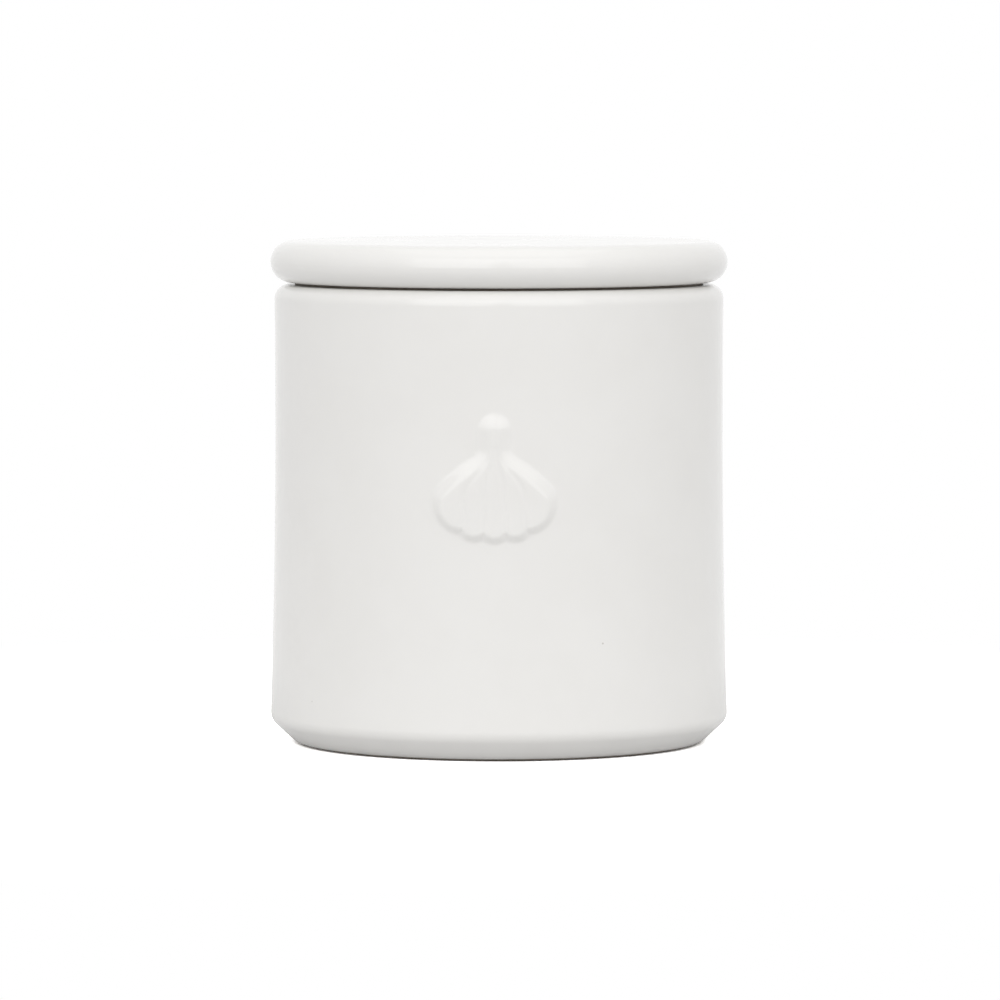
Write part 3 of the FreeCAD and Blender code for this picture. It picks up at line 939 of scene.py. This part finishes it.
def make_floor():
    """A pale floor whose shadows stay. The camera sees it lifted towards white close by and plain white
    further off. The light that it throws back on the keeper falls off with the distance, because its
    colour is painted lighter close by: a painted pool of light."""
    reach = FLOOR_HALF_WIDTH
    corners = [(-reach, -reach, 0), (reach, -reach, 0), (reach, reach, 0), (-reach, reach, 0)]
    floor = new_object("floor", corners, faces=[(0, 1, 2, 3)])
    material = bpy.data.materials.new("studio_floor")
    material.use_nodes = True
    tree = material.node_tree
    tree.nodes.clear()
    camera, seen = seen_rays(tree)
    place = add_node(tree, "ShaderNodeTexCoord").outputs["Object"]
    distance = add_node(tree, "ShaderNodeVectorMath", {0: place}, operation="LENGTH").outputs["Value"]
    away = eased(tree, distance, FLOOR_FADE_START, FLOOR_FADE_END)
    # Painted light: for the light thrown back on the keeper, the floor's colour is lighter close by, a
    # painted pool of light.
    plain = mixed_colour(tree, away, FLOOR_NEAR_PAINTED_LIGHT_COLOUR, FLOOR_FAR_COLOUR)
    mirrored = mixed_colour(tree, seen, plain, FLOOR_MIRRORED_COLOUR)
    colour = mixed_colour(tree, camera, mirrored, FLOOR_SEEN_COLOUR)
    matt = add_node(tree, "ShaderNodeBsdfDiffuse", {"Color": colour})
    white = add_node(tree, "ShaderNodeEmission", {"Color": (1, 1, 1, 1), "Strength": 1.0})
    shaders = {0: away * seen, 1: matt.outputs[0], 2: white.outputs[0]}
    blend = add_node(tree, "ShaderNodeMixShader", shaders)
    end = tree.nodes.new("ShaderNodeOutputMaterial")
    tree.links.new(blend.outputs[0], end.inputs["Surface"])
    floor.data.materials.append(material)


def make_world():
    """A white surround for the camera and for reflections, and a plain fill light for the rest."""
    world = bpy.data.worlds.new("studio")
    bpy.context.scene.world = world
    world.use_nodes = True
    tree = world.node_tree
    background = tree.nodes["Background"]
    background.inputs["Color"].default_value = (1, 1, 1, 1)
    seen = seen_rays(tree)[1]
    feed(tree, background.inputs["Strength"], seen * (1 - FILL_LEVEL) + FILL_LEVEL)


def make_lamp(name, bearing, elevation, distance, width, height, level, mirrored):
    """A soft rectangular lamp that faces the keeper. The bearing is from the front, to the right.
    A lamp that isn't mirrored lights the glaze without showing in it."""
    light = bpy.data.lights.new(name, "AREA")
    light.shape = "RECTANGLE"
    light.size = width
    light.size_y = height
    light.energy = level * width * height * math.pi
    lamp = bpy.data.objects.new(name, light)
    bpy.context.scene.collection.objects.link(lamp)
    turn, rise = bearing * DEGREE, elevation * DEGREE
    way = Vector((math.sin(turn) * math.cos(rise), -math.cos(turn) * math.cos(rise), math.sin(rise)))
    middle = Vector((0, 0, RIM_HEIGHT / 2 * MM))
    lamp.location = middle + way * distance
    lamp.rotation_euler = (-way).to_track_quat("-Z", "Y").to_euler()
    lamp.visible_glossy = mirrored


def make_camera():
    camera = bpy.data.cameras.new("camera")
    camera.sensor_width = 36.0
    camera.lens = CAMERA_LENS
    camera.shift_x = CAMERA_SHIFT
    viewer = bpy.data.objects.new("camera", camera)
    bpy.context.scene.collection.objects.link(viewer)
    bearing = CAMERA_BEARING * DEGREE
    viewer.location = (
        CAMERA_DISTANCE * math.sin(bearing),
        -CAMERA_DISTANCE * math.cos(bearing),
        CAMERA_HEIGHT,
    )
    viewer.rotation_euler = (math.pi / 2 - CAMERA_TILT * DEGREE, 0, bearing)
    bpy.context.scene.camera = viewer


# Metres and degrees for the studio

CAMERA_DISTANCE = 1.6
CAMERA_HEIGHT = 0.1625
CAMERA_TILT = 3.725
CAMERA_BEARING = 1.1
CAMERA_LENS = 239.1
CAMERA_SHIFT = 0.001
FLOOR_HALF_WIDTH = 3.0
# The floor's colour close to the keeper is lighter than further off: a painted pool of light for what it
# throws back.
FLOOR_NEAR_PAINTED_LIGHT_COLOUR = (0.7, 0.7, 0.7, 1)
FLOOR_FAR_COLOUR = (0.48, 0.48, 0.48, 1)
FLOOR_MIRRORED_COLOUR = (0.95, 0.95, 0.95, 1)
FLOOR_SEEN_COLOUR = (2.4, 2.4, 2.4, 1)
FLOOR_FADE_START = 0.09
FLOOR_FADE_END = 0.3
FILL_LEVEL = 0.57

# name, bearing, elevation, distance, width, height, level, mirrored
LAMPS = (
    ("overhead", 0, 86, 0.9, 0.8, 0.8, 0.38, True),
    ("front_left", -22, 27, 1.2, 0.9, 1.0, 1.17, True),
    ("front_right", 26, 27, 1.2, 0.8, 1.0, 0.98, True),
    ("side_left", -64, 27, 1.2, 0.7, 1.0, 1.0, False),
    ("side_right", 66, 27, 1.2, 0.7, 1.0, 1.15, False),
    ("behind", 180, 24, 1.2, 0.9, 1.0, 0.75, False),
)

bpy.context.scene.view_settings.view_transform = "Standard"
make_camera()
make_world()
make_floor()
for lamp in LAMPS:
    make_lamp(*lamp)

unrolled, rolled = unrolled_tree(), rolled_tree()
trees = {
    "turned": turned_tree(unrolled, rolled),
    "jar": jar_tree(unrolled, rolled, raised_bulb_tree(), vent_row_tree()),
}
glaze_group = glaze_over_clay_group()
# The jar's bare foot band is also painted contact shadow.
make_jar(trees, glaze_material("jar_glaze", glaze_group, JAR_CLAY_AND_CONTACT_SHADE_BELOW, *JAR_GLAZE_RELIEF))
lid_glaze = glaze_material("lid_glaze", glaze_group, LID_BARE_BELOW, *LID_GLAZE_RELIEF)
lid = make_turned("glazed_lid", lid_section(), trees, lid_glaze)
set_down(lid, "lid", "lid")
seal = make_turned("soft_seal", seal_section(), trees, silicone_material())
set_down(seal, "seal", "lid_seal")
